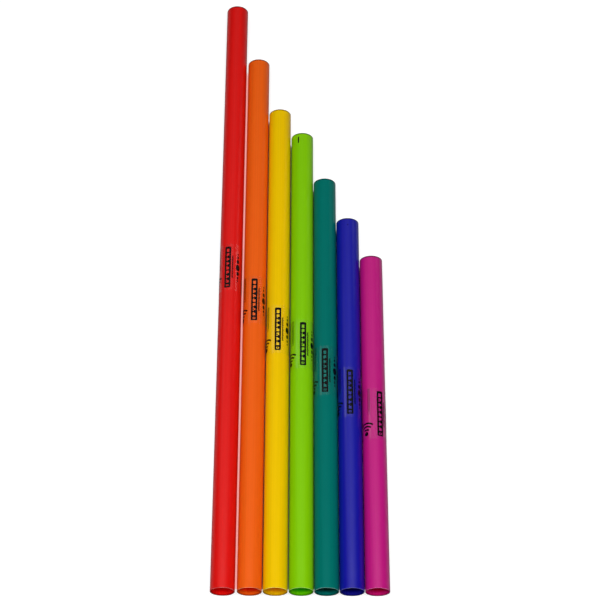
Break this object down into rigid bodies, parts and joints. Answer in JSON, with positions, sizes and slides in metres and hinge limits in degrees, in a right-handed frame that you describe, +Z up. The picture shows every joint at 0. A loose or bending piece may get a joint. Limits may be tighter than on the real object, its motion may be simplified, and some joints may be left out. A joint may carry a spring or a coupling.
{
  "type": "tuned percussion tubes",
  "caption": "Open plastic tubes cut to graded lengths that sound the notes of a scale when struck, each with a clear printed film round its middle, laid side by side in a row.",
  "frame": {"origin": "on the surface that the tubes lie on, under the middle of the row: half the longest tube's length from the line of near ends, and half the row's width from either side", "axes": "+X across the row from the longest tube to the shortest, +Y along the tubes from the line of near ends to the staggered far ends, +Z up"},
  "size_m": [0.314, 1.276, 0.0438],
  "materials": {
    "red_plastic": "satin",
    "orange_plastic": "satin",
    "yellow_plastic": "satin",
    "green_plastic": "satin",
    "teal_plastic": "satin",
    "blue_plastic": "satin",
    "magenta_plastic": "satin",
    "clear_film": "gloss",
    "black_ink": "gloss"
  },
  "bodies": {
    "red": {"red_tube": "red_plastic", "red_film": "clear_film"},
    "orange": {"orange_tube": "orange_plastic", "orange_film": "clear_film"},
    "yellow": {"yellow_tube": "yellow_plastic", "yellow_film": "clear_film"},
    "green": {"green_tube": "green_plastic", "green_film": "clear_film"},
    "teal": {"teal_tube": "teal_plastic", "teal_film": "clear_film"},
    "blue": {"blue_tube": "blue_plastic", "blue_film": "clear_film"},
    "magenta": {"magenta_tube": "magenta_plastic", "magenta_film": "clear_film"}
  },
  "joints": [
    {"name": "orange_lift", "type": "slide", "parent": "red", "child": "orange", "axis": [0, 0, 1], "range_m": [0, 0.3]},
    {"name": "yellow_lift", "type": "slide", "parent": "red", "child": "yellow", "axis": [0, 0, 1], "range_m": [0, 0.3]},
    {"name": "green_lift", "type": "slide", "parent": "red", "child": "green", "axis": [0, 0, 1], "range_m": [0, 0.3]},
    {"name": "teal_lift", "type": "slide", "parent": "red", "child": "teal", "axis": [0, 0, 1], "range_m": [0, 0.3]},
    {"name": "blue_lift", "type": "slide", "parent": "red", "child": "blue", "axis": [0, 0, 1], "range_m": [0, 0.3]},
    {"name": "magenta_lift", "type": "slide", "parent": "red", "child": "magenta", "axis": [0, 0, 1], "range_m": [0, 0.3]}
  ]
}
